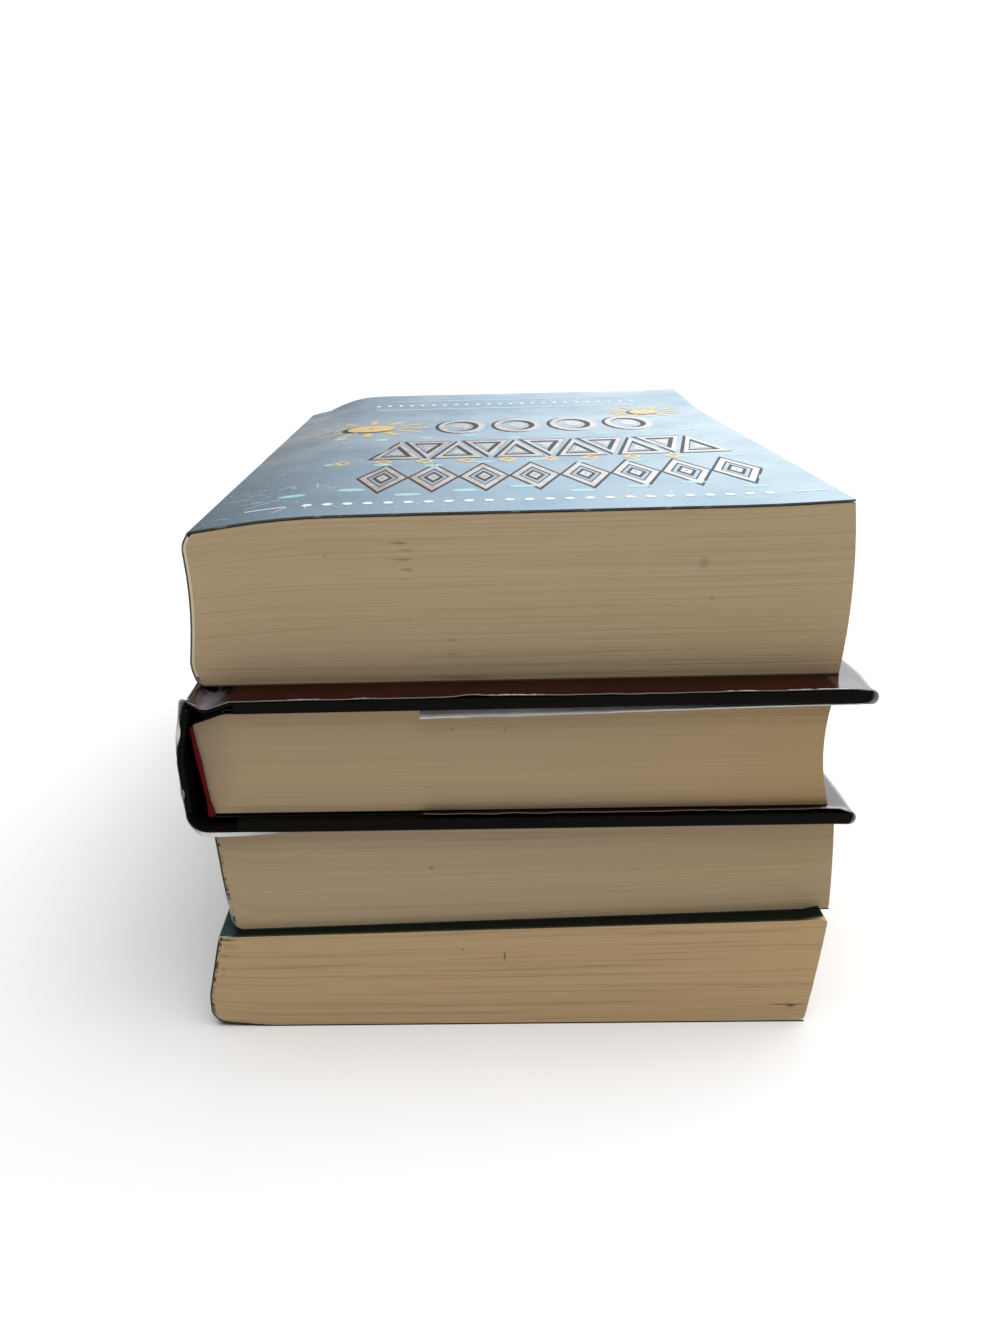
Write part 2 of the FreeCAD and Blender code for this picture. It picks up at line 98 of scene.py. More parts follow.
class Tree:
    """Adds nodes to a node tree and joins them up."""

    def __init__(self, nodes_of):
        self.nodes = nodes_of.nodes
        self.links = nodes_of.links

    def add(self, kind, inputs=(), **settings):
        made = self.nodes.new("ShaderNode" + kind)
        for name, value in settings.items():
            setattr(made, name, value)
        for key, value in dict(inputs).items():
            self.put(made.inputs[key], value)
        return made

    def put(self, socket, value):
        if isinstance(value, bpy.types.NodeSocket):
            self.links.new(value, socket)
        else:
            socket.default_value = value

    def math(self, operation, first, second=0.0, clamp=False):
        made = self.add("Math", {0: first, 1: second}, operation=operation, use_clamp=clamp)
        return made.outputs[0]

    def mix(self, share, first, second):
        made = self.add("Mix", {0: share, 6: first, 7: second}, data_type="RGBA")
        return made.outputs[2]

    def between(self, value, low, high, to_low=0.0, to_high=1.0):
        made = self.add("MapRange", {0: value, 1: low, 2: high, 3: to_low, 4: to_high})
        return made.outputs[0]

    def scaled(self, vector, size):
        made = self.add("VectorMath", {0: vector, 1: size}, operation="MULTIPLY")
        return made.outputs[0]

    def speckle(self, vector, scale, detail=2.0, roughness=0.5):
        inputs = {"Vector": vector, "Scale": scale, "Detail": detail, "Roughness": roughness}
        return self.add("TexNoise", inputs).outputs[0]

    def attribute(self, name, output):
        return self.add("Attribute", attribute_name=name).outputs[output]

    def across(self, place):
        """The part of a place from the spines to the fore edges."""
        return self.add("SeparateXYZ", {0: place}).outputs[0]


def material(name, colour, roughness, **settings):
    """A plain material and the tree and shader to add to."""
    made = bpy.data.materials.new(name)
    made.use_nodes = True
    shader = made.node_tree.nodes["Principled BSDF"]
    shader.inputs["Base Color"].default_value = colour
    shader.inputs["Roughness"].default_value = roughness
    for key, value in settings.items():
        shader.inputs[key.replace("_", " ").title().replace("Ior", "IOR")].default_value = value
    return made, Tree(made.node_tree), shader


def effect(name, takes, gives):
    """A node group with named inputs and outputs."""
    made = bpy.data.node_groups.new(name, "ShaderNodeTree")
    for label, kind in takes:
        made.interface.new_socket(label, in_out="INPUT", socket_type="NodeSocket" + kind)
    for label, kind in gives:
        made.interface.new_socket(label, in_out="OUTPUT", socket_type="NodeSocket" + kind)
    enter = made.nodes.new("NodeGroupInput")
    leave = made.nodes.new("NodeGroupOutput")
    return made, Tree(made), enter.outputs, leave.inputs


def used(tree, group, inputs):
    """A group placed in a material."""
    made = tree.nodes.new("ShaderNodeGroup")
    made.node_tree = group
    for key, value in inputs.items():
        tree.put(made.inputs[key], value)
    return made.outputs


# Streaks that follow the leaves of a page block: fine ones, and thin gaps between some of the leaves
leaf_streaks, inner, takes, gives = effect(
    "leaf_streaks",
    [("Leaf", "Float"), ("Vector", "Vector"), ("Leaves", "Float"), ("Gatherings", "Float")],
    [("Fine", "Float"), ("Gap", "Float"), ("Height", "Float")],
)
along = inner.scaled(takes["Vector"], (6, 6, 0))
split = inner.add("SeparateXYZ", {0: along}).outputs
leaf_count = inner.math("MULTIPLY", takes["Leaf"], takes["Leaves"])
gathering_count = inner.math("MULTIPLY", takes["Leaf"], takes["Gatherings"])
fine_at = inner.add("CombineXYZ", {0: split[0], 1: split[1], 2: leaf_count})
wide_at = inner.add("CombineXYZ", {0: split[0], 1: split[1], 2: gathering_count})
fine_noise = inner.speckle(fine_at.outputs[0], 1.0, 2.0, 0.6)
wide_noise = inner.speckle(wide_at.outputs[0], 1.0, 2.0, 0.5)
inner.put(gives["Fine"], inner.between(fine_noise, 0.35, 0.7))
from_middle = inner.math("ABSOLUTE", inner.math("SUBTRACT", wide_noise, 0.5))
gap = inner.between(from_middle, 0.03, 0.004)
inner.put(gives["Gap"], gap)
inner.put(gives["Height"], inner.math("SUBTRACT", fine_noise, gap))

# A soft-edged oval mark on a page edge, ragged along the leaves; it also places worn spots and patches of
# painted shade and sheen
leaf_mark, inner, takes, gives = effect(
    "leaf_mark",
    [("Vector", "Vector"), ("Centre", "Vector"), ("Size", "Vector"), ("Ragged", "Float")],
    [("Mask", "Float")],
)
offset = inner.add("VectorMath", {0: takes["Vector"], 1: takes["Centre"]}, operation="SUBTRACT").outputs[0]
reach = inner.add("VectorMath", {0: offset, 1: takes["Size"]}, operation="DIVIDE").outputs[0]
distance = inner.add("VectorMath", {0: reach}, operation="LENGTH").outputs["Value"]
grain = inner.speckle(inner.scaled(takes["Vector"], (400, 400, 2600)), 1.0, 1.0)
rough_edge = inner.math("MULTIPLY", inner.math("SUBTRACT", grain, 0.5), takes["Ragged"])
inner.put(gives["Mask"], inner.between(inner.math("ADD", distance, rough_edge), 1.0, 0.35))

# Hairline scuffs on a glossy cover
scuffs, inner, takes, gives = effect(
    "scuffs",
    [("Vector", "Vector"), ("Scale", "Float"), ("Amount", "Float")],
    [("Mask", "Float")],
)
bent = inner.speckle(takes["Vector"], 30.0, 2.0)
turned = inner.add("VectorMath", {0: takes["Vector"], 1: inner.math("MULTIPLY", bent, 0.02)}, operation="ADD")
long_way = inner.scaled(turned.outputs[0], (0.12, 1.0, 1.0))
cross_way = inner.scaled(turned.outputs[0], (1.0, 0.16, 1.0))
first = inner.speckle(long_way, takes["Scale"], 3.0, 0.7)
second = inner.speckle(cross_way, takes["Scale"], 3.0, 0.7)
strongest = inner.math("MAXIMUM", first, second)
inner.put(gives["Mask"], inner.math("MULTIPLY", inner.between(strongest, 0.72, 0.8), takes["Amount"]))


def page_material(name, colour, leaves, gatherings, gap_depth, marks=(), warmth=0.2):
    """Paper seen at its cut edges: streaks, a few marks (stains, and on the hardcover a patch of painted
    shade), plain paper on the flat faces.

    A mark has a centre and a size in millimetres, its raggedness, its strength and its colour.
    """
    made, tree, shader = material(name, colour, 0.85, specular_ior_level=0.25)
    place = tree.add("TexCoord").outputs["Object"]
    leaf = tree.attribute("leaf", "Fac")
    streaks = used(tree, leaf_streaks, {
        "Leaf": leaf, "Vector": place, "Leaves": leaves, "Gatherings": gatherings,
    })
    normal = tree.add("NewGeometry").outputs["Normal"]
    flat = tree.math("ABSOLUTE", tree.add("SeparateXYZ", {0: normal}).outputs[2])
    edge = tree.between(flat, 0.9, 0.7)
    dark = tuple(part * 0.78 for part in colour[:3]) + (1,)
    darker = tuple(part * 0.45 for part in colour[:3]) + (1,)
    blotch = tree.between(tree.speckle(place, 22.0, 2.0), 0.3, 0.75, 0.0, 0.3)
    tint = tree.mix(blotch, colour, (colour[0] * 0.92, colour[1] * 0.89, colour[2] * 0.84, 1))
    warm = tree.between(tree.across(place), 0.01, 0.07, 0.0, warmth)
    tint = tree.mix(warm, tint, (colour[0], colour[1] * 0.9, colour[2] * 0.68, 1))
    fine = tree.math("MULTIPLY", tree.math("MULTIPLY", streaks["Fine"], 0.55), edge)
    tint = tree.mix(fine, tint, dark)
    gap = tree.math("MULTIPLY", tree.math("MULTIPLY", streaks["Gap"], gap_depth), edge)
    tint = tree.mix(gap, tint, darker)
    for centre, size, ragged, strength, shade in marks:
        where = tuple(part * MM for part in centre)
        spread = tuple(part * MM for part in size)
        mark = used(tree, leaf_mark, {"Vector": place, "Centre": where, "Size": spread, "Ragged": ragged})
        tint = tree.mix(tree.math("MULTIPLY", mark["Mask"], strength), tint, shade)
    tree.put(shader.inputs["Base Color"], tint)
    height = tree.math("MULTIPLY", streaks["Height"], edge)
    bump = tree.add("Bump", {"Strength": 0.35, "Distance": 0.08 * MM, "Height": height})
    tree.put(shader.inputs["Normal"], bump.outputs[0])
    return made


# Materials

card_inside, _, _ = material("card_inside", CARD_WHITE, 0.6)
card_edge, tree, shader = material("card_edge", CARD_EDGE, 0.7)
edge_place = tree.attribute("rest", "Vector")
worn = tree.between(tree.speckle(edge_place, 260.0, 3.0), 0.6, 0.75)
tree.put(shader.inputs["Base Color"], tree.mix(worn, CARD_EDGE, (0.3, 0.28, 0.22, 1)))
card_edge_worn, _, _ = material("card_edge_worn", (0.11, 0.08, 0.055, 1), 0.8, specular_ior_level=0.1)

cover_print, tree, shader = material("cover_print", SKY_BLUE, 0.22, specular_ior_level=0.35)
place = tree.attribute("rest", "Vector")
parts = tree.add("SeparateXYZ", {0: place}).outputs
cloud = tree.speckle(place, 11.0, 3.0)
# Painted sheen: the blue turns paler toward the fore edge and the head, and painted shade deepens it toward
# the spine.
sideways = tree.math("ADD", tree.math("MULTIPLY", parts[0], 8.0), parts[1])
painted_sheen = tree.between(tree.math("ADD", sideways, tree.math("MULTIPLY", cloud, 0.35)), 0.1, 0.75)
sky = tree.mix(painted_sheen, SKY_BLUE, SKY_PAINTED_SHEEN)
painted_spine_shade = tree.between(parts[0], -0.07, 0.0, 1.0, 0.0)
sky = tree.mix(painted_spine_shade, sky, SKY_PAINTED_SHADE)
scuff = used(tree, scuffs, {"Vector": place, "Scale": 900.0, "Amount": 0.5})
sky = tree.mix(scuff["Mask"], sky, INK_WHITE)
spots = tree.between(tree.speckle(place, 700.0, 1.0), 0.74, 0.78, 0.0, 0.7)
sky = tree.mix(spots, sky, INK_WHITE)
tree.put(shader.inputs["Base Color"], sky)
smear = tree.between(tree.speckle(place, 45.0, 4.0, 0.6), 0.35, 0.7, 0.14, 0.32)
tree.put(shader.inputs["Roughness"], smear)

foil_silver, tree, shader = material("foil_silver", FOIL_SILVER, 0.22, metallic=1.0)
place = tree.add("TexCoord").outputs["Object"]
# Painted reflection: the foil is bronze-dark toward the spine and bright toward the fore edge, with painted
# glints.
toward_fore = tree.between(tree.across(place), -0.06, 0.035)
painted_glint = tree.speckle(place, 170.0, 2.0)
painted_shine = tree.math("ADD", tree.math("MULTIPLY", toward_fore, 0.8), tree.between(painted_glint, 0.42, 0.6))
silvered = tree.mix(tree.math("MINIMUM", painted_shine, 1.0), FOIL_PAINTED_DIM_REFLECTION, FOIL_SILVER)
tree.put(shader.inputs["Base Color"], silvered)
foil_gold, _, _ = material("foil_gold", FOIL_GOLD, 0.3, metallic=0.7)
ink_white, _, _ = material("ink_white", INK_WHITE, 0.3)
ink_turquoise, _, _ = material("ink_turquoise", INK_TURQUOISE, 0.3)
ink_brown, tree, shader = material("ink_brown", INK_BROWN, 0.5, specular_ior_level=0.1)
cooler = tree.between(tree.across(tree.add("TexCoord").outputs["Object"]), -0.03, 0.04)
tree.put(shader.inputs["Base Color"], tree.mix(cooler, INK_BROWN, INK_SLATE))

# The jacket's print: a pale lavender patch in the groove, partly rubbed and partly painted sheen, white where
# torn, glossy where it lies outside the top book
jacket_print, tree, shader = material(
    "jacket_print", JACKET_MAROON_IN_PAINTED_SHADE, 0.35, specular_ior_level=0.03, coat_ior=1.9,
)
place = tree.add("TexCoord").outputs["Object"]
smear = tree.speckle(place, 40.0, 4.0, 0.6)
# Both maroons are darker than the jacket's own colour: painted shade from the top book lying over it.
maroon = tree.mix(tree.between(smear, 0.4, 0.7), JACKET_MAROON_IN_PAINTED_SHADE, JACKET_WORN_IN_PAINTED_SHADE)
tree.put(shader.inputs["Roughness"], tree.between(smear, 0.3, 0.75, 0.22, 0.42))
torn = tree.math("MULTIPLY", tree.attribute("wear", "Fac"), tree.speckle(place, 900.0, 2.0))
# Partly rubbed laminate, partly a painted sheen put into the colour at the groove by the tail
rubbed = used(tree, leaf_mark, {
    "Vector": place, "Centre": (-0.0675, -0.108, 0.078), "Size": (0.0042, 0.016, 0.006), "Ragged": 0.5,
})
maroon = tree.mix(rubbed["Mask"], maroon, JACKET_RUBBED_AND_SHEEN)
sideways = tree.across(place)
outside = tree.math("MAXIMUM", tree.between(sideways, 0.0662, 0.0672), tree.between(sideways, -0.063, -0.066))
upward = tree.add("SeparateXYZ", {0: tree.add("NewGeometry").outputs["Normal"]}).outputs[2]
lying = tree.between(tree.math("ABSOLUTE", upward), 0.2, 0.6, 0.25, 1.0)
tree.put(shader.inputs["Coat Weight"], tree.math("MULTIPLY", outside, lying))
tree.put(shader.inputs["Coat Roughness"], tree.between(smear, 0.3, 0.75, 0.06, 0.16))
tree.put(shader.inputs["Base Color"], tree.mix(tree.between(torn, 0.3, 0.42), maroon, JACKET_WHITE))
# The back flap's white cut edge, painted grey for the shade in the gap under the board
flap_edge_painted_shade, _, _ = material("flap_edge_painted_shade", FLAP_PAINTED_SHADE_GREY, 0.7)
jacket_cut, tree, shader = material("jacket_cut", JACKET_WHITE, 0.6)
frayed = tree.attribute("frayed", "Fac")
tree.put(shader.inputs["Base Color"], tree.mix(frayed, JACKET_CUT, JACKET_WHITE))
jacket_paper, tree, shader = material("jacket_paper", JACKET_WHITE, 0.55)
place = tree.add("TexCoord").outputs["Object"]
soiled = tree.between(tree.speckle(place, 180.0, 3.0), 0.45, 0.75, 0.0, 0.6)
tree.put(shader.inputs["Base Color"], tree.mix(soiled, JACKET_WHITE, (0.32, 0.29, 0.26, 1)))

case_black, tree, shader = material("case_black", CASE_BLACK, 0.62, specular_ior_level=0.05)
place = tree.add("TexCoord").outputs["Object"]
weave = tree.speckle(place, 2200.0, 2.0)
bump = tree.add("Bump", {"Strength": 0.4, "Distance": 0.05 * MM, "Height": weave})
tree.put(shader.inputs["Normal"], bump.outputs[0])
board_grey, _, _ = material("board_grey", BOARD_GREY, 0.85)
band_red, tree, shader = material("band_red", BAND_RED, 0.6, specular_ior_level=0.05)
place = tree.add("TexCoord").outputs["Object"]
threads = tree.add("TexWave", {"Vector": place, "Scale": 800.0}, bands_direction="Z").outputs[1]
tree.put(shader.inputs["Base Color"], tree.mix(threads, (0.07, 0.003, 0.005, 1), BAND_RED))
endpaper_dark, _, _ = material("endpaper_dark", ENDPAPER_DARK, 0.6, specular_ior_level=0.2)
lining_cream, _, _ = material("lining_cream", (0.55, 0.5, 0.4, 1), 0.9)
glue_cream, _, _ = material("glue_cream", GLUE_CREAM, 0.45)
glue_aged, tree, shader = material("glue_aged", GLUE_AGED, 0.6)
place = tree.add("TexCoord").outputs["Object"]
ticks = tree.between(tree.speckle(tree.scaled(place, (0.15, 0.15, 1)), 1100.0, 2.0), 0.5, 0.62)
tree.put(shader.inputs["Base Color"], tree.mix(ticks, GLUE_AGED, (0.07, 0.045, 0.02, 1)))
olive_card, _, _ = material("olive_card", OLIVE_CARD, 0.4)
green_card, tree, shader = material("green_card", GREEN_CARD_IN_PAINTED_SHADE, 0.5, specular_ior_level=0.12)
place = tree.add("TexCoord").outputs["Object"]
rubbed = tree.between(tree.speckle(place, 120.0, 4.0, 0.6), 0.5, 0.8, 0.0, 0.35)
# Painted light and shade: the card is near black where shade falls under the book above, and lit teal by the
# spine; the rubbed flecks show only in that lit part.
painted_light_by_spine = tree.between(tree.across(place), -0.0645, -0.0668)
green = tree.mix(painted_light_by_spine, GREEN_CARD_IN_PAINTED_SHADE, GREEN_PAINTED_LIGHT)
green = tree.mix(tree.math("MULTIPLY", rubbed, painted_light_by_spine), green, GREEN_RUBBED)
tree.put(shader.inputs["Base Color"], green)


def worn_edge(name, sound, worn, centre, size):
    """The cut edge of a card, pale where one corner is worn."""
    made, tree, shader = material(name, sound, 0.75, specular_ior_level=0.2)
    place = tree.add("TexCoord").outputs["Object"]
    mark = used(tree, leaf_mark, {"Vector": place, "Centre": centre, "Size": size, "Ragged": 0.5})
    tree.put(shader.inputs["Base Color"], tree.mix(mark["Mask"], sound, worn))
    return made


olive_edge = worn_edge(
    "olive_edge", sound=(0.05, 0.045, 0.03, 1), worn=(0.4, 0.37, 0.31, 1),
    centre=(-0.0672, -0.107, 0.0305), size=(0.0022, 0.01, 0.0045),
)
green_edge = worn_edge(
    "green_edge", sound=(0.03, 0.028, 0.018, 1), worn=(0.55, 0.52, 0.45, 1),
    centre=(-0.0684, -0.109, 0.0268), size=(0.0042, 0.01, 0.004),
)


# Building meshes


def welded(*nodes):
    """The meshes of CAD nodes as one, with shared corners joined and flat faces whole."""
    work = bmesh.new()
    for node in nodes:
        work.from_mesh(frame["nodes"][node].data)
    bmesh.ops.remove_doubles(work, verts=work.verts, dist=0.004 * MM)
    bmesh.ops.dissolve_limit(work, angle_limit=math.radians(0.2), verts=work.verts, edges=work.edges)
    return work


def cut_every(work, direction, step, low=None, high=None):
    """Cuts a mesh across by parallel planes a step apart."""
    places = [vert.co.dot(direction) for vert in work.verts]
    low = min(places) if low is None else low
    high = max(places) if high is None else high
    count = max(1, round((high - low) / step))
    for index in range(1, count):
        cut_at(work, direction, low + (high - low) * index / count)


def cut_at(work, direction, place):
    """Cuts a mesh across by the plane a place along a direction."""
    everything = work.verts[:] + work.edges[:] + work.faces[:]
    bmesh.ops.bisect_plane(
        work, geom=everything, dist=0.002 * MM, plane_co=direction * place, plane_no=direction,
    )


def finished(work, name, materials, smooth_below=35.0):
    """The mesh as an object, smooth except across sharp edges."""
    mesh = bpy.data.meshes.new(name)
    work.normal_update()
    for face in work.faces:
        face.smooth = True
    for edge in work.edges:
        sides = edge.link_faces
        edge.smooth = len(sides) == 2 and edge.calc_face_angle() < math.radians(smooth_below)
        if edge.smooth and sides[0].material_index != sides[1].material_index:
            edge.smooth = False
    work.to_mesh(mesh)
    work.free()
    for made in materials:
        mesh.materials.append(made)
    piece = bpy.data.objects.new(name, mesh)
    bpy.context.scene.collection.objects.link(piece)
    return piece


def stands_for(piece, slot, *nodes):
    """The piece rides the stack and is seen in place of the named nodes."""
    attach(piece, "stack")
    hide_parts(*nodes)


def ripple(point, scale, seed=0.0):
    """Smooth noise between about -1 and 1 at a point in metres."""
    return noise.noise(Vector((point.x * scale, point.y * scale, point.z * scale + seed)))


def step_up(value, low, high):
    """Rises smoothly from 0 at low to 1 at high."""
    share = min(max((value - low) / (high - low), 0.0), 1.0)
    return share * share * (3 - 2 * share)


# Page blocks


class Section:
    """The upper and lower faces of a block, found by looking up and down from its middle."""

    def __init__(self, work, node):
        self.tree = BVHTree.FromBMesh(work)
        self.low, self.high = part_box(node)
        self.middle = (self.low.z + self.high.z) / 2

    def at(self, x, y):
        start = Vector((x, y, self.middle))
        up = self.tree.ray_cast(start, UP)[0]
        down = self.tree.ray_cast(start, -UP)[0]
        return down.z, up.z

    def heights(self, x, y):
        """Heights of both faces, carried straight on past the rounded edges."""
        inset = 5 * MM
        y = min(max(y, self.low.y + 3 * MM), self.high.y - 3 * MM)
        inside = min(max(x, self.low.x + inset), self.high.x - inset)
        near = self.at(inside, y)
        if inside == x:
            return near
        further = self.at(inside + math.copysign(4 * MM, inside - x), y)
        ratio = abs(x - inside) / (4 * MM)
        return tuple(a + (a - b) * ratio for a, b in zip(near, further))

    def slope(self):
        y = (self.low.y + self.high.y) / 2
        span = self.high.x - self.low.x
        left = self.at(self.low.x + span * 0.2, y)
        right = self.at(self.low.x + span * 0.8, y)
        return (sum(right) - sum(left)) / 2 / (span * 0.6)


crease_at = Vector(frame["joints"][0]["pos_m"])
ARCH_HEIGHT = 2.3 * MM
ARCH_FROM = 55 * MM
ARCH_TO = 109 * MM
ARCH_RUN = 15 * MM


def arching(x, y):
    """How far the top book's upper leaves and cover lift toward the head end, from the crease on."""
    past_crease = min(max((x - crease_at.x) / ARCH_RUN, 0.0), 1.0)
    return ARCH_HEIGHT * step_up(y, ARCH_FROM, ARCH_TO) * math.sin(math.pi / 2 * past_crease)


def rounding(reach, radius):
    """How far a rounded corner lies inside a square one, a reach away from it."""
    if reach >= radius:
        return 0.0
    return radius * (1 - math.sqrt(1 - (1 - reach / radius) ** 2))


def page_block(node, name, slot, made, leaves, depth, seed, arched=False, below=0.0, above=0.0):
    """A page block, ridged along its leaves, its fore corners rounded below and above."""
    work = welded(node)
    section = Section(work, node)
    across = Vector((-section.slope(), 0, 1)).normalized()
    cut_every(work, across, 0.55 * MM)
    cut_every(work, Vector((1, 0, 0)), 5 * MM)
    cut_every(work, Vector((0, 1, 0)), 8 * MM)
    leaf_layer = work.verts.layers.float.new("leaf")
    work.normal_update()
    moves = []
    for vert in work.verts:
        bottom, top = section.heights(vert.co.x, vert.co.y)
        leaf = (vert.co.z - bottom) / (top - bottom)
        vert[leaf_layer] = leaf
        move = Vector((0, 0, 0))
        if arched:
            move.z = arching(vert.co.x, vert.co.y) * leaf * leaf
        if vert.normal.x > 0.4:
            reach = (vert.co.z - bottom, top - vert.co.z)
            move.x -= rounding(max(reach[0], 0), below) + rounding(max(reach[1], 0), above)
        out = Vector((max(vert.normal.x, 0), vert.normal.y, 0))
        if out.length > 0.25:
            where = Vector((vert.co.x * 9, vert.co.y * 9, leaf * leaves + seed))
            ridge = noise.noise(where) + 0.6 * noise.noise(where * 2.7)
            move += out.normalized() * depth * (ridge - 0.6)
        moves.append((vert, move))
    for vert, move in moves:
        vert.co += move
    piece = finished(work, name, [made], 60)
    stands_for(piece, slot, node)
    return piece


top_marks = [
    ((-27.4, -99.92, 114.2), (2.2, 6, 0.5), 0.9, 0.55, STAIN_BROWN),
    ((-25.9, -99.92, 112.6), (2.0, 6, 0.35), 0.9, 0.45, STAIN_BROWN),
    ((-26.6, -99.92, 110.6), (2.6, 6, 0.45), 0.9, 0.5, STAIN_BROWN),
    ((-25.6, -99.92, 108.4), (1.7, 6, 0.4), 0.9, 0.55, STAIN_BROWN),
    ((-25.9, -99.92, 106.4), (1.2, 6, 0.35), 0.9, 0.35, STAIN_BROWN),
    ((-16.1, -99.92, 92.8), (1.3, 6, 0.4), 0.9, 0.35, STAIN_BROWN),
    ((-15.9, -99.92, 89.6), (1.5, 6, 0.4), 0.9, 0.45, STAIN_BROWN),
    ((37.5, -99.92, 110.4), (1.4, 6, 1.9), 0.9, 0.3, (0.14, 0.11, 0.08, 1)),
    ((39.9, -99.92, 102.7), (0.5, 6, 0.4), 0.4, 0.4, STAIN_BROWN),
    ((-42.7, -99.92, 111.3), (0.5, 6, 0.5), 0.4, 0.35, STAIN_BROWN),
    ((-14.0, -99.92, 84.2), (9, 6, 0.7), 0.7, 0.4, STAIN_BROWN),
]
lower_marks = [((-20.6, -107.0, 40.6), (0.7, 6, 0.5), 0.3, 0.6, STAIN_BROWN)]
bottom_marks = [
    ((-3.6, -109.6, 18.9), (0.35, 6, 1.7), 0.4, 0.75, (0.12, 0.06, 0.03, 1)),
    ((-13.3, -109.6, 20.8), (0.7, 6, 0.4), 0.4, 0.6, STAIN_BROWN),
    ((64.0, -109.6, 4.9), (5.5, 6, 0.28), 0.8, 0.8, (0.1, 0.05, 0.02, 1)),
    ((-66.9, -109.6, 23.6), (2.4, 6, 0.5), 1.2, 0.75, (0.1, 0.05, 0.02, 1)),
    ((-66.4, -109.6, 21.8), (2.4, 6, 1.0), 0.7, 0.22, STAIN_BROWN),
    ((-67.8, -109.6, 19.4), (1.9, 6, 0.24), 0.9, 0.6, (0.12, 0.06, 0.03, 1)),
    ((-68.2, -109.6, 15.7), (1.2, 6, 0.22), 0.9, 0.55, (0.12, 0.06, 0.03, 1)),
    ((-68.5, -109.6, 14.2), (0.8, 6, 0.2), 0.9, 0.4, (0.12, 0.06, 0.03, 1)),
    ((64.8, -109.6, 4.6), (1.6, 6, 0.5), 0.6, 0.8, (0.08, 0.04, 0.015, 1)),
]
top_pages_made = page_material("top_book_paper", PAGE_TOP_BOOK, 150, 24, 0.16, top_marks)
hardcover_stains_and_painted_shade = [
    # A patch of painted shade: the pages darken toward the spine, under the board.
    ((-71.5, -107.0, 68.0), (10.0, 6, 26), 0.2, 0.45, (0.2, 0.155, 0.12, 1)),
    ((-16.0, -107.0, 75.0), (0.7, 6, 0.5), 0.4, 0.35, STAIN_BROWN),
    ((-4.5, -107.0, 74.6), (0.5, 6, 0.9), 0.4, 0.3, STAIN_BROWN),
]
hardcover_pages_made = page_material("hardcover_paper", PAGE_HARDCOVER, 100, 8, 0.06, hardcover_stains_and_painted_shade, 1.0)
lower_pages_made = page_material("lower_book_paper", PAGE_LOWER_BOOK, 90, 12, 0.12, lower_marks)
bottom_pages_made = page_material("bottom_book_paper", PAGE_BOTTOM_BOOK, 80, 18, 0.4, bottom_marks)
page_block(
    "top_book_pages", "top_book_page_block", "top_pages", top_pages_made,
    leaves=60, depth=0.03 * MM, seed=3.1, arched=True,
)
page_block(
    "hardcover_pages", "hardcover_page_block", "hardcover_pages", hardcover_pages_made,
    leaves=40, depth=0.02 * MM, seed=7.7,
)
page_block(
    "lower_book_pages", "lower_book_page_block", "lower_pages", lower_pages_made,
    leaves=45, depth=0.03 * MM, seed=12.4, below=0.5 * MM, above=0.5 * MM,
)
page_block(
    "bottom_book_pages", "bottom_book_page_block", "bottom_pages", bottom_pages_made,
    leaves=40, depth=0.045 * MM, seed=19.2, below=1.3 * MM, above=0.9 * MM,
)


# The top book's cover: one sheet of card, bent at its crease


def spread_over(start, index):
    """Gives one index to every face reached from a start over smooth edges."""
    start.material_index = index
    waiting = [start]
    while waiting:
        face = waiting.pop()
        for edge in face.edges:
            if len(edge.link_faces) != 2 or edge.calc_face_angle() > math.radians(60):
                continue
            for other in edge.link_faces:
                if other.material_index != index:
                    other.material_index = index
                    waiting.append(other)


def paint_sides(work):
    """0 on the printed face of a folded sheet, 1 on its inside, 2 on its cut edges."""
    bmesh.ops.recalc_face_normals(work, faces=work.faces)
    for face in work.faces:
        face.material_index = 2
    facing_up = [face for face in work.faces if face.normal.z > 0.9]
    highest = max(facing_up, key=lambda face: face.calc_center_median().z)
    spread_over(highest, 0)
    facing_down = [face for face in work.faces if face.normal.z < -0.9]
    spread_over(max(facing_down, key=lambda face: face.calc_center_median().z), 1)


work = welded("top_book_front_cover", "top_book_spine_and_back_cover")
seam_ends = []
for face in work.faces:
    middle = face.calc_center_median()
    if abs(middle.x - crease_at.x) < 0.5 * MM and abs(face.normal.x) > 0.7 and middle.z > 0.11:
        seam_ends.append(face)
bmesh.ops.delete(work, geom=seam_ends, context="FACES")
rims = [edge for edge in work.edges if edge.is_boundary]
bmesh.ops.bridge_loops(work, edges=rims)
for offset_mm in (-0.7, -0.45, -0.25, -0.1, 0.1, 0.25, 0.45, 0.7):
    cut_at(work, Vector((1, 0, 0)), crease_at.x + offset_mm * MM)
cut_every(work, Vector((1, 0, 0)), 6 * MM)
cut_every(work, Vector((1, 0, 0)), 1.2 * MM, -0.0712, -0.0568)
cut_every(work, Vector((0, 1, 0)), 7 * MM)
cut_every(work, UP, 4 * MM)
top_low, top_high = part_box("top_book_pages")
centre = (top_low + top_high) / 2
cut_at(work, UP, centre.z)
paint_sides(work)
rest_layer = work.verts.layers.float_vector.new("rest")
for vert in work.verts:
    vert[rest_layer] = vert.co
    flat_part = step_up(vert.co.x, -0.06, -0.03) * step_up(0.0675, vert.co.x, vert.co.x + 4 * MM)
    if vert.co.z > centre.z:
        flat_point = Vector((vert.co.x, vert.co.y, 0))
        vert.co.z += 0.1 * MM * ripple(flat_point, 28, 4.0) * flat_part + arching(vert.co.x, vert.co.y)
below = work.copy()
for sheet, wanted in ((work, True), (below, False)):
    other_part = [face for face in sheet.faces if (face.calc_center_median().z > centre.z) != wanted]
    bmesh.ops.delete(sheet, geom=other_part, context="FACES")
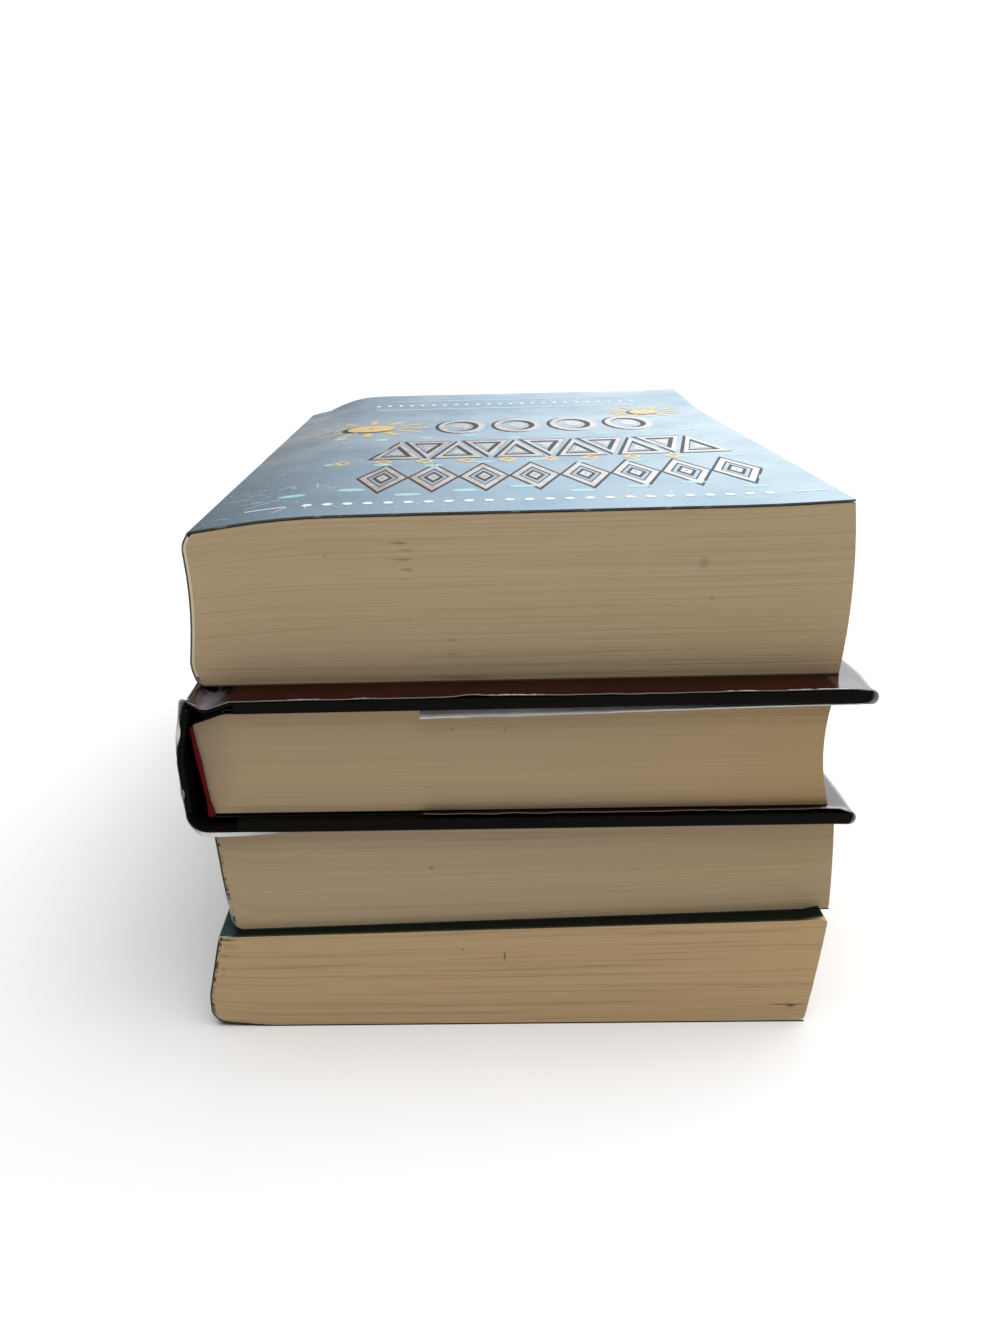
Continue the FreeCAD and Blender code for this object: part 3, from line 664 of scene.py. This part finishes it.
top_cover = finished(work, "top_book_front_sheet", [cover_print, card_inside, card_edge], 50)
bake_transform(top_cover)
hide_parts("top_book_front_cover", "top_book_spine_and_back_cover")
back_cover = finished(below, "top_book_back_sheet", [cover_print, card_inside, card_edge_worn], 50)
stands_for(back_cover, "top_cover", "top_book_spine_and_back_cover")


# Plain foil and ink shapes printed on the front cover

cover_mesh = top_cover.data
cover_tree = BVHTree.FromPolygons(
    [vert.co for vert in cover_mesh.vertices], [face.vertices for face in cover_mesh.polygons]
)


class Print:
    """A set of flat shapes that lie on the cover, with a hair of thickness."""

    def __init__(self, name, made, rise):
        self.name = name
        self.made = made
        self.rise = rise * MM
        self.work = bmesh.new()

    def shape(self, corners):
        """A shape from its corners in millimetres, x from the fold and y from the tail."""
        lifted = []
        for x, y in corners:
            above = Vector((top_low.x + x * MM, top_low.y + y * MM, 0.2))
            lifted.append(cover_tree.ray_cast(above, -UP)[0])
        upper = [self.work.verts.new(point + UP * self.rise) for point in lifted]
        lower = [self.work.verts.new(point - UP * 0.05 * MM) for point in lifted]
        self.work.faces.new(upper)
        self.work.faces.new(lower[::-1])
        for index in range(len(upper)):
            after = (index + 1) % len(upper)
            self.work.faces.new([upper[index], lower[index], lower[after], upper[after]])

    def bar(self, x, y, length, width, turn=0.0):
        """A straight stroke, in short lengths so that it follows the card."""
        along = Vector((math.cos(math.radians(turn)), math.sin(math.radians(turn))))
        side = Vector((-along.y, along.x)) * width / 2
        begin = Vector((x, y)) - along * length / 2
        steps = max(1, round(length / 6))
        for index in range(steps):
            one = begin + along * length * index / steps
            two = begin + along * length * (index + 1) / steps
            self.shape([one - side, two - side, two + side, one + side])

    def ring(self, x, y, width, height, border, sides=20, first=0.0):
        """An oval ring; four sides make it a lozenge and three a triangle."""
        turns = [math.radians(first + 360 * index / sides) for index in range(sides + 1)]
        outer = [(x + width / 2 * math.cos(t), y + height / 2 * math.sin(t)) for t in turns]
        ratio = 1 - border
        hollow = [(x + (a - x) * ratio, y + (b - y) * ratio) for a, b in outer]
        for index in range(sides):
            self.shape([outer[index], outer[index + 1], hollow[index + 1], hollow[index]])

    def oval(self, x, y, width, height, sides=14):
        turns = [2 * math.pi * index / sides for index in range(sides)]
        self.shape([(x + width / 2 * math.cos(t), y + height / 2 * math.sin(t)) for t in turns])

    def done(self):
        bmesh.ops.recalc_face_normals(self.work, faces=self.work.faces)
        piece = finished(self.work, self.name, [self.made], 20)
        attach(piece, "top_cover")


brown = Print("cover_brown_ink", ink_brown, 0.02)
turquoise = Print("cover_turquoise_ink", ink_turquoise, 0.03)
silver = Print("cover_silver_foil", foil_silver, 0.045)
gold = Print("cover_gold_foil", foil_gold, 0.06)
white = Print("cover_white_ink", ink_white, 0.07)

# Three bands: tall lozenges, nested triangles, and nested ovals with a sun at each end
LOZENGES_Y = 42
TRIANGLES_Y = 86
OVALS_Y = 134
for index in range(8):
    x = 38.4 + index * 12.4
    brown.ring(x, LOZENGES_Y, 13, 40, 0.46, 4)
    silver.ring(x, LOZENGES_Y, 11.4, 35, 0.3, 4)
    brown.ring(x, LOZENGES_Y, 5, 15, 0.9, 4)
    silver.ring(x, LOZENGES_Y, 3.2, 9.5, 0.8, 4)
for index in range(11):
    x = 40 + index * 8.4
    up = -1 if index % 2 else 1
    y = TRIANGLES_Y - 5.5 * up
    first = 90 * up
    brown.ring(x - 0.5, y, 16.4, 43, 0.55, 3, first)
    silver.ring(x, y, 14.6, 39, 0.3, 3, first)
    silver.ring(x, y, 4.6, 12, 0.9, 3, first)
for index in range(4):
    x = 58 + index * 18
    brown.ring(x - 0.9, OVALS_Y, 15.5, 33, 0.4, 16)
    silver.ring(x, OVALS_Y + 0.5, 15, 32, 0.26, 16)
    silver.ring(x, OVALS_Y + 0.5, 5, 11, 0.9, 10)
for x, y, size in ((29, 133, 17), (121, 160, 11)):
    brown.ring(x - 0.8, y - 1, size, size, 0.5)
    gold.ring(x, y, size * 0.9, size * 0.9, 0.5)
    gold.ring(x, y, size * 0.46, size * 0.46, 0.8)
    for index in range(12):
        turn = index * 30
        reach = size * 0.85
        ray_x = x + reach * math.cos(math.radians(turn))
        ray_y = y + reach * math.sin(math.radians(turn))
        gold.bar(ray_x, ray_y, size * 0.5, size * 0.12, turn)
for index in range(9):
    gold.ring(26 + index * 11, 66, 5.4, 7.5, 0.45, 4)
for index in range(24):
    white.oval(24 + index * 4.4, 11.5, 2.3, 2.6, 8)
    white.oval(28 + index * 4.0, 184, 1.6, 2.6, 8)
white.bar(15, 11.5, 9, 0.8)
white.bar(134, 11.5, 7, 0.8)
white.bar(74, 176, 92, 0.7)
white.bar(76, 193, 88, 0.7)
for index in range(9):
    x = 19 + index * 13.2
    turquoise.oval(x, 24 + 4 * math.sin(index * 2.1), 6.5, 3.4, 12)
    turquoise.oval(x + 5, 62 + 3 * math.cos(index * 1.7), 5.2, 3.2, 12)
    turquoise.oval(x + 2, 110 + 4 * math.cos(index * 2.3), 4.6, 3.6, 12)

# Fine scratches where the cover has been handled
noise.seed_set(11)
for index in range(16):
    spread = noise.random_vector()
    white.bar(18 + 12 * spread.x, 22 + 17 * spread.y, 4.5 + 2.5 * spread.z, 0.13, 60 + 80 * spread.x)
for shapes in (brown, turquoise, silver, gold, white):
    shapes.done()


# The dust jacket: loose at its folds, nicked along its cut ends

work = welded("hardcover_dust_jacket")
jacket_low, jacket_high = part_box("hardcover_dust_jacket")
case_middle = (jacket_low.z + jacket_high.z) / 2
for offset_mm in (0.25, 0.6, 1.0, 1.5, 2.0, 2.6, 4, 6, 8, 10, 12, 15, 19):
    cut_at(work, Vector((0, 1, 0)), jacket_low.y + offset_mm * MM)
    cut_at(work, Vector((0, 1, 0)), jacket_high.y - offset_mm * MM)
cut_every(work, Vector((0, 1, 0)), 12 * MM, jacket_low.y + 12 * MM, jacket_high.y - 12 * MM)
cut_every(work, Vector((1, 0, 0)), 2.2 * MM)
cut_every(work, UP, 1.6 * MM, jacket_low.z + 2 * MM, jacket_high.z - 2 * MM)
paint_sides(work)
sheet_tree = BVHTree.FromBMesh(work)
wear_layer = work.verts.layers.float.new("wear")
fray_layer = work.verts.layers.float.new("frayed")


def jacket_depth(point, upper):
    """How far a point lies inside the jacket's outer face, above or below it."""
    if upper:
        hit = sheet_tree.ray_cast(Vector((point.x, point.y, jacket_high.z + 5 * MM)), -UP)[0]
    else:
        hit = sheet_tree.ray_cast(Vector((point.x, point.y, jacket_low.z - 5 * MM)), UP)[0]
    return abs(hit.z - point.z) if hit else 0


def hump(value, centre, width):
    return math.exp(-((value - centre) / width) ** 2)


# Cut edges of the back flap, inside the back board, take the painted-shade grey
for face in work.faces:
    middle = face.calc_center_median()
    if face.material_index == 2 and middle.z < case_middle and middle.x < jacket_high.x - 8 * MM:
        if jacket_depth(Vector((middle.x, jacket_low.y + 1 * MM, middle.z)), False) > 1.5 * MM:
            face.material_index = 3
flap_start = min(
    vert.co.x for vert in work.verts
    if vert.co.x > -45 * MM and vert.co.z > case_middle and jacket_depth(vert.co, True) > 1.5 * MM
)
moves = []
for vert in work.verts:
    co = vert.co
    inner_face = any(face.material_index == 1 for face in vert.link_faces)
    from_tail = co.y - jacket_low.y
    from_head = jacket_high.y - co.y
    at_tail = from_tail < from_head
    from_end = min(from_tail, from_head)
    inward = 1 if at_tail else -1
    seed = 1.0 if at_tail else 9.0
    near_end = 1 - step_up(from_end, 0, 2.4 * MM)
    upper = co.z > case_middle
    over_board = co.x > jacket_low.x + 6 * MM and co.x < jacket_high.x - 3 * MM
    inside_case = Vector((co.x, max(co.y, jacket_low.y + 1 * MM) if at_tail else co.y, co.z))
    depth = jacket_depth(inside_case, upper) if over_board else 0
    wander = noise.noise(Vector((co.x * 160, co.z * 160, seed)))
    nick = max(0.0, noise.noise(Vector((co.x * 420, co.z * 420, seed + 3))) - 0.25)
    vert[wear_layer] = max(0.0, 1 - from_end / (0.9 * MM)) * (0.55 + wander)
    move = Vector((0, 0, 0))
    if at_tail and co.x < jacket_low.x + 2.5 * MM:
        frayed = hump(co.z, 74.7 * MM, 2.2 * MM) + 0.7 * hump(co.z, 61 * MM, 1.6 * MM)
        vert[wear_layer] += 1.6 * frayed * max(0.0, 1 - from_end / (2.6 * MM))
        vert[fray_layer] = frayed
        move.x += (0.65 if inner_face else -0.2) * MM * frayed * near_end
        move.y -= 0.45 * MM * frayed * near_end
    if from_end < 0.8 * MM:
        share = 1 - from_end / (0.8 * MM)
        move.y += inward * share * (0.15 * MM * (wander + 1) + 0.9 * MM * nick)
    if co.x > jacket_high.x - 4 * MM:
        loose = step_up(co.x, jacket_high.x - 4 * MM, jacket_high.x - 0.5 * MM)
        slack = 1 if upper else 0.35
        move.x += (0.3 if inner_face else 0.5) * MM * near_end * loose * slack
        move.x += 0.8 * MM * hump(from_tail, 11 * MM, 8 * MM) * loose * slack
        move.y -= 0.25 * MM * max(0.0, 1 - from_end / (0.8 * MM)) * loose
    toward_fore = step_up(co.x, jacket_high.x - 96 * MM, jacket_high.x - 8 * MM)
    if depth > 1.5 * MM and upper:
        sag = 1.35 if at_tail else 0.8
        vert[fray_layer] = 0.3 + 0.7 * max(toward_fore, 1 - step_up(co.x, flap_start, flap_start + 14 * MM))
        move.x -= 1.6 * MM * (1 - step_up(co.x, flap_start, flap_start + 14 * MM))
        move.z -= sag * MM * near_end * (1 - 0.85 * toward_fore) * (1 + 0.3 * wander)
    elif depth > 1.5 * MM:
        lift = 0.75 if at_tail else 0.5
        move.z += lift * MM * near_end * (1 + 0.25 * wander)
        vert[wear_layer] = 0.0
    elif upper and over_board:
        nearer = 1 - step_up(from_end, 0, 8 * MM)
        lift = 0.18 + 0.16 * hump(co.x, 0.005, 0.05) + 0.45 * hump(co.x, -0.012, 0.004)
        move.z += lift * MM * nearer * (1 + 0.5 * wander)
    elif upper and co.x < jacket_low.x + 3.4 * MM:
        tip = near_end * hump(co.x, jacket_low.x + 2.2 * MM, 1.1 * MM)
        move.z += 1.1 * MM * tip * (1 if at_tail else 0.4)
        move.x -= 0.5 * MM * tip
    elif not upper:
        hang = 1 - step_up(co.x, jacket_low.x + 6 * MM, jacket_low.x + 28 * MM)
        hang *= step_up(co.x, jacket_low.x + 1 * MM, jacket_low.x + 5 * MM)
        hang *= near_end * (1 if at_tail else 0.5)
        move.z += (0.15 if inner_face else -0.65) * MM * hang * (1 + 0.3 * wander)
        move.y -= inward * 0.4 * MM * hang
        vert[fray_layer] = hang
    moves.append((vert, move))
for vert, move in moves:
    vert.co += move
jacket = finished(work, "dust_jacket_sheet", [jacket_print, jacket_paper, jacket_cut, flap_edge_painted_shade], 50)
stands_for(jacket, "dust_jacket", "hardcover_dust_jacket")


# Covers of the two lower paperbacks


def paperback_cover(node, name, slot, materials, curl=None):
    """A folded card: print, plain inside and cut edges."""
    work = welded(node)
    low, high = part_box(node)
    cut_every(work, Vector((1, 0, 0)), 4 * MM)
    for offset_mm in (0.7, 1.4, 2.1, 3, 5, 7):
        cut_at(work, Vector((1, 0, 0)), high.x - offset_mm * MM)
    cut_every(work, Vector((0, 1, 0)), 7 * MM)
    paint_sides(work)
    if curl:
        curl(work, low, high)
    piece = finished(work, name, materials, 50)
    stands_for(piece, slot, node)


def curled_corner(work, low, high):
    """The upper fore corner at the tail lifts a little."""
    for vert in work.verts:
        if vert.co.z > high.z - 3 * MM:
            past = step_up(vert.co.x, high.x - 9 * MM, high.x + 1.2 * MM)
            near_tail = 1 - step_up(vert.co.y, low.y + 6 * MM, low.y + 60 * MM)
            vert.co.z += 0.9 * MM * past * (0.35 + 0.65 * near_tail)
            vert.co.x -= 1.5 * MM * past * past * near_tail


lower_looks = [olive_card, card_inside, olive_edge]
bottom_looks = [green_card, card_inside, green_edge]
paperback_cover("lower_book_cover", "lower_book_card", "lower_cover", lower_looks)
paperback_cover("bottom_book_cover", "bottom_book_card", "bottom_cover", bottom_looks, curled_corner)


# The case and its bands


def softened(node, name, slot, made, width):
    """A copy of a node's mesh with its sharp edges rounded."""
    work = welded(node)
    sharp = []
    for edge in work.edges:
        if len(edge.link_faces) == 2 and edge.calc_face_angle() > math.radians(40):
            sharp.append(edge)
    bmesh.ops.bevel(
        work, geom=sharp, offset=width, segments=3, profile=0.5,
        affect="EDGES", clamp_overlap=True, material=-1,
    )
    piece = finished(work, name, [made], 40)
    stands_for(piece, slot, node)


def thread_band(node, name):
    """A sewn band, uneven along its length and fuller at its lower end."""
    work = welded(node)
    low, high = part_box(node)
    cut_every(work, UP, 0.8 * MM)
    work.normal_update()
    moves = []
    for vert in work.verts:
        share = (vert.co.z - low.z) / (high.z - low.z)
        fullness = 0.4 * hump(share, 0.0, 0.1) + 0.14 * hump(share, 0.6, 0.16) - 0.1
        fullness += 0.07 * noise.noise(Vector((0, 0, vert.co.z * 900)))
        moves.append((vert, vert.normal * fullness * MM))
    for vert, move in moves:
        vert.co += move
    piece = finished(work, name, [band_red], 50)
    stands_for(piece, "red_band", node)


thread_band("hardcover_tailband", "tailband_thread")
thread_band("hardcover_headband", "headband_thread")
softened("hardcover_case_covering", "case_covering_cloth", "case_covering", case_black, 0.12 * MM)

plain_looks = {
    "hardcover_front_board": board_grey,
    "hardcover_back_board": board_grey,
    "hardcover_spine_inlay": board_grey,
    "hardcover_spine_lining": lining_cream,
    "hardcover_front_endpaper": endpaper_dark,
    "hardcover_back_endpaper": endpaper_dark,
    "top_book_spine_glue": glue_cream,
    "lower_book_spine_glue": glue_aged,
    "bottom_book_spine_glue": glue_aged,
}
for node, made in plain_looks.items():
    mesh = frame["nodes"][node].data
    mesh.materials.clear()
    mesh.materials.append(made)


# Floor, light and camera

floor_mesh = bpy.data.meshes.new("floor")
work = bmesh.new()
bmesh.ops.create_grid(work, x_segments=1, y_segments=1, size=60)
work.to_mesh(floor_mesh)
work.free()
floor = bpy.data.objects.new("floor", floor_mesh)
floor_paint, _, _ = material("floor_paint", (0.86, 0.86, 0.86, 1), 0.9)
floor_mesh.materials.append(floor_paint)
bpy.context.scene.collection.objects.link(floor)

world = bpy.data.worlds.new("studio")
bpy.context.scene.world = world
world.use_nodes = True
tree = Tree(world.node_tree)
looking = tree.add("TexCoord").outputs["Generated"]
direction = tree.add("SeparateXYZ", {0: looking}).outputs
toward_back = tree.math("MULTIPLY", direction[1], 0.8)
toward_right = tree.math("MULTIPLY", direction[0], 0.9)
facing = tree.math("ADD", toward_back, toward_right)
behind = tree.between(facing, 0.45, 1.1)
sky_light = tree.mix(behind, (0.07, 0.07, 0.075, 1), (1.8, 1.83, 1.88, 1))
seen = tree.add("LightPath").outputs["Is Camera Ray"]
sky_light = tree.mix(seen, sky_light, (1, 1, 1, 1))
tree.put(world.node_tree.nodes["Background"].inputs["Color"], sky_light)
world.node_tree.nodes["Background"].inputs["Strength"].default_value = 1.0

sun_data = bpy.data.lights.new("overhead_softbox", "SUN")
sun_data.energy = 3.2
sun_data.angle = math.radians(70)
sun = bpy.data.objects.new("overhead_softbox", sun_data)
bpy.context.scene.collection.objects.link(sun)
sun.rotation_mode = "QUATERNION"
sun.rotation_quaternion = Vector((-0.08, 0.12, -1)).to_track_quat("-Z", "Y")

camera_data = bpy.data.cameras.new("camera")
camera = bpy.data.objects.new("camera", camera_data)
bpy.context.scene.collection.objects.link(camera)
bpy.context.scene.camera = camera
camera_data.sensor_width = 36
camera_data.lens = 29.58
camera_data.clip_start = 0.01
camera_place = Vector((-0.01507, -0.32512, 0.16775))
camera_pitch, camera_yaw, camera_roll = 19.76, 2.42, 1.05
camera.matrix_world = (
    Matrix.Translation(camera_place)
    @ Matrix.Rotation(math.radians(-camera_yaw), 4, "Z")
    @ Matrix.Rotation(math.radians(90 - camera_pitch), 4, "X")
    @ Matrix.Rotation(math.radians(camera_roll), 4, "Z")
)
bpy.context.scene.view_settings.view_transform = "Standard"
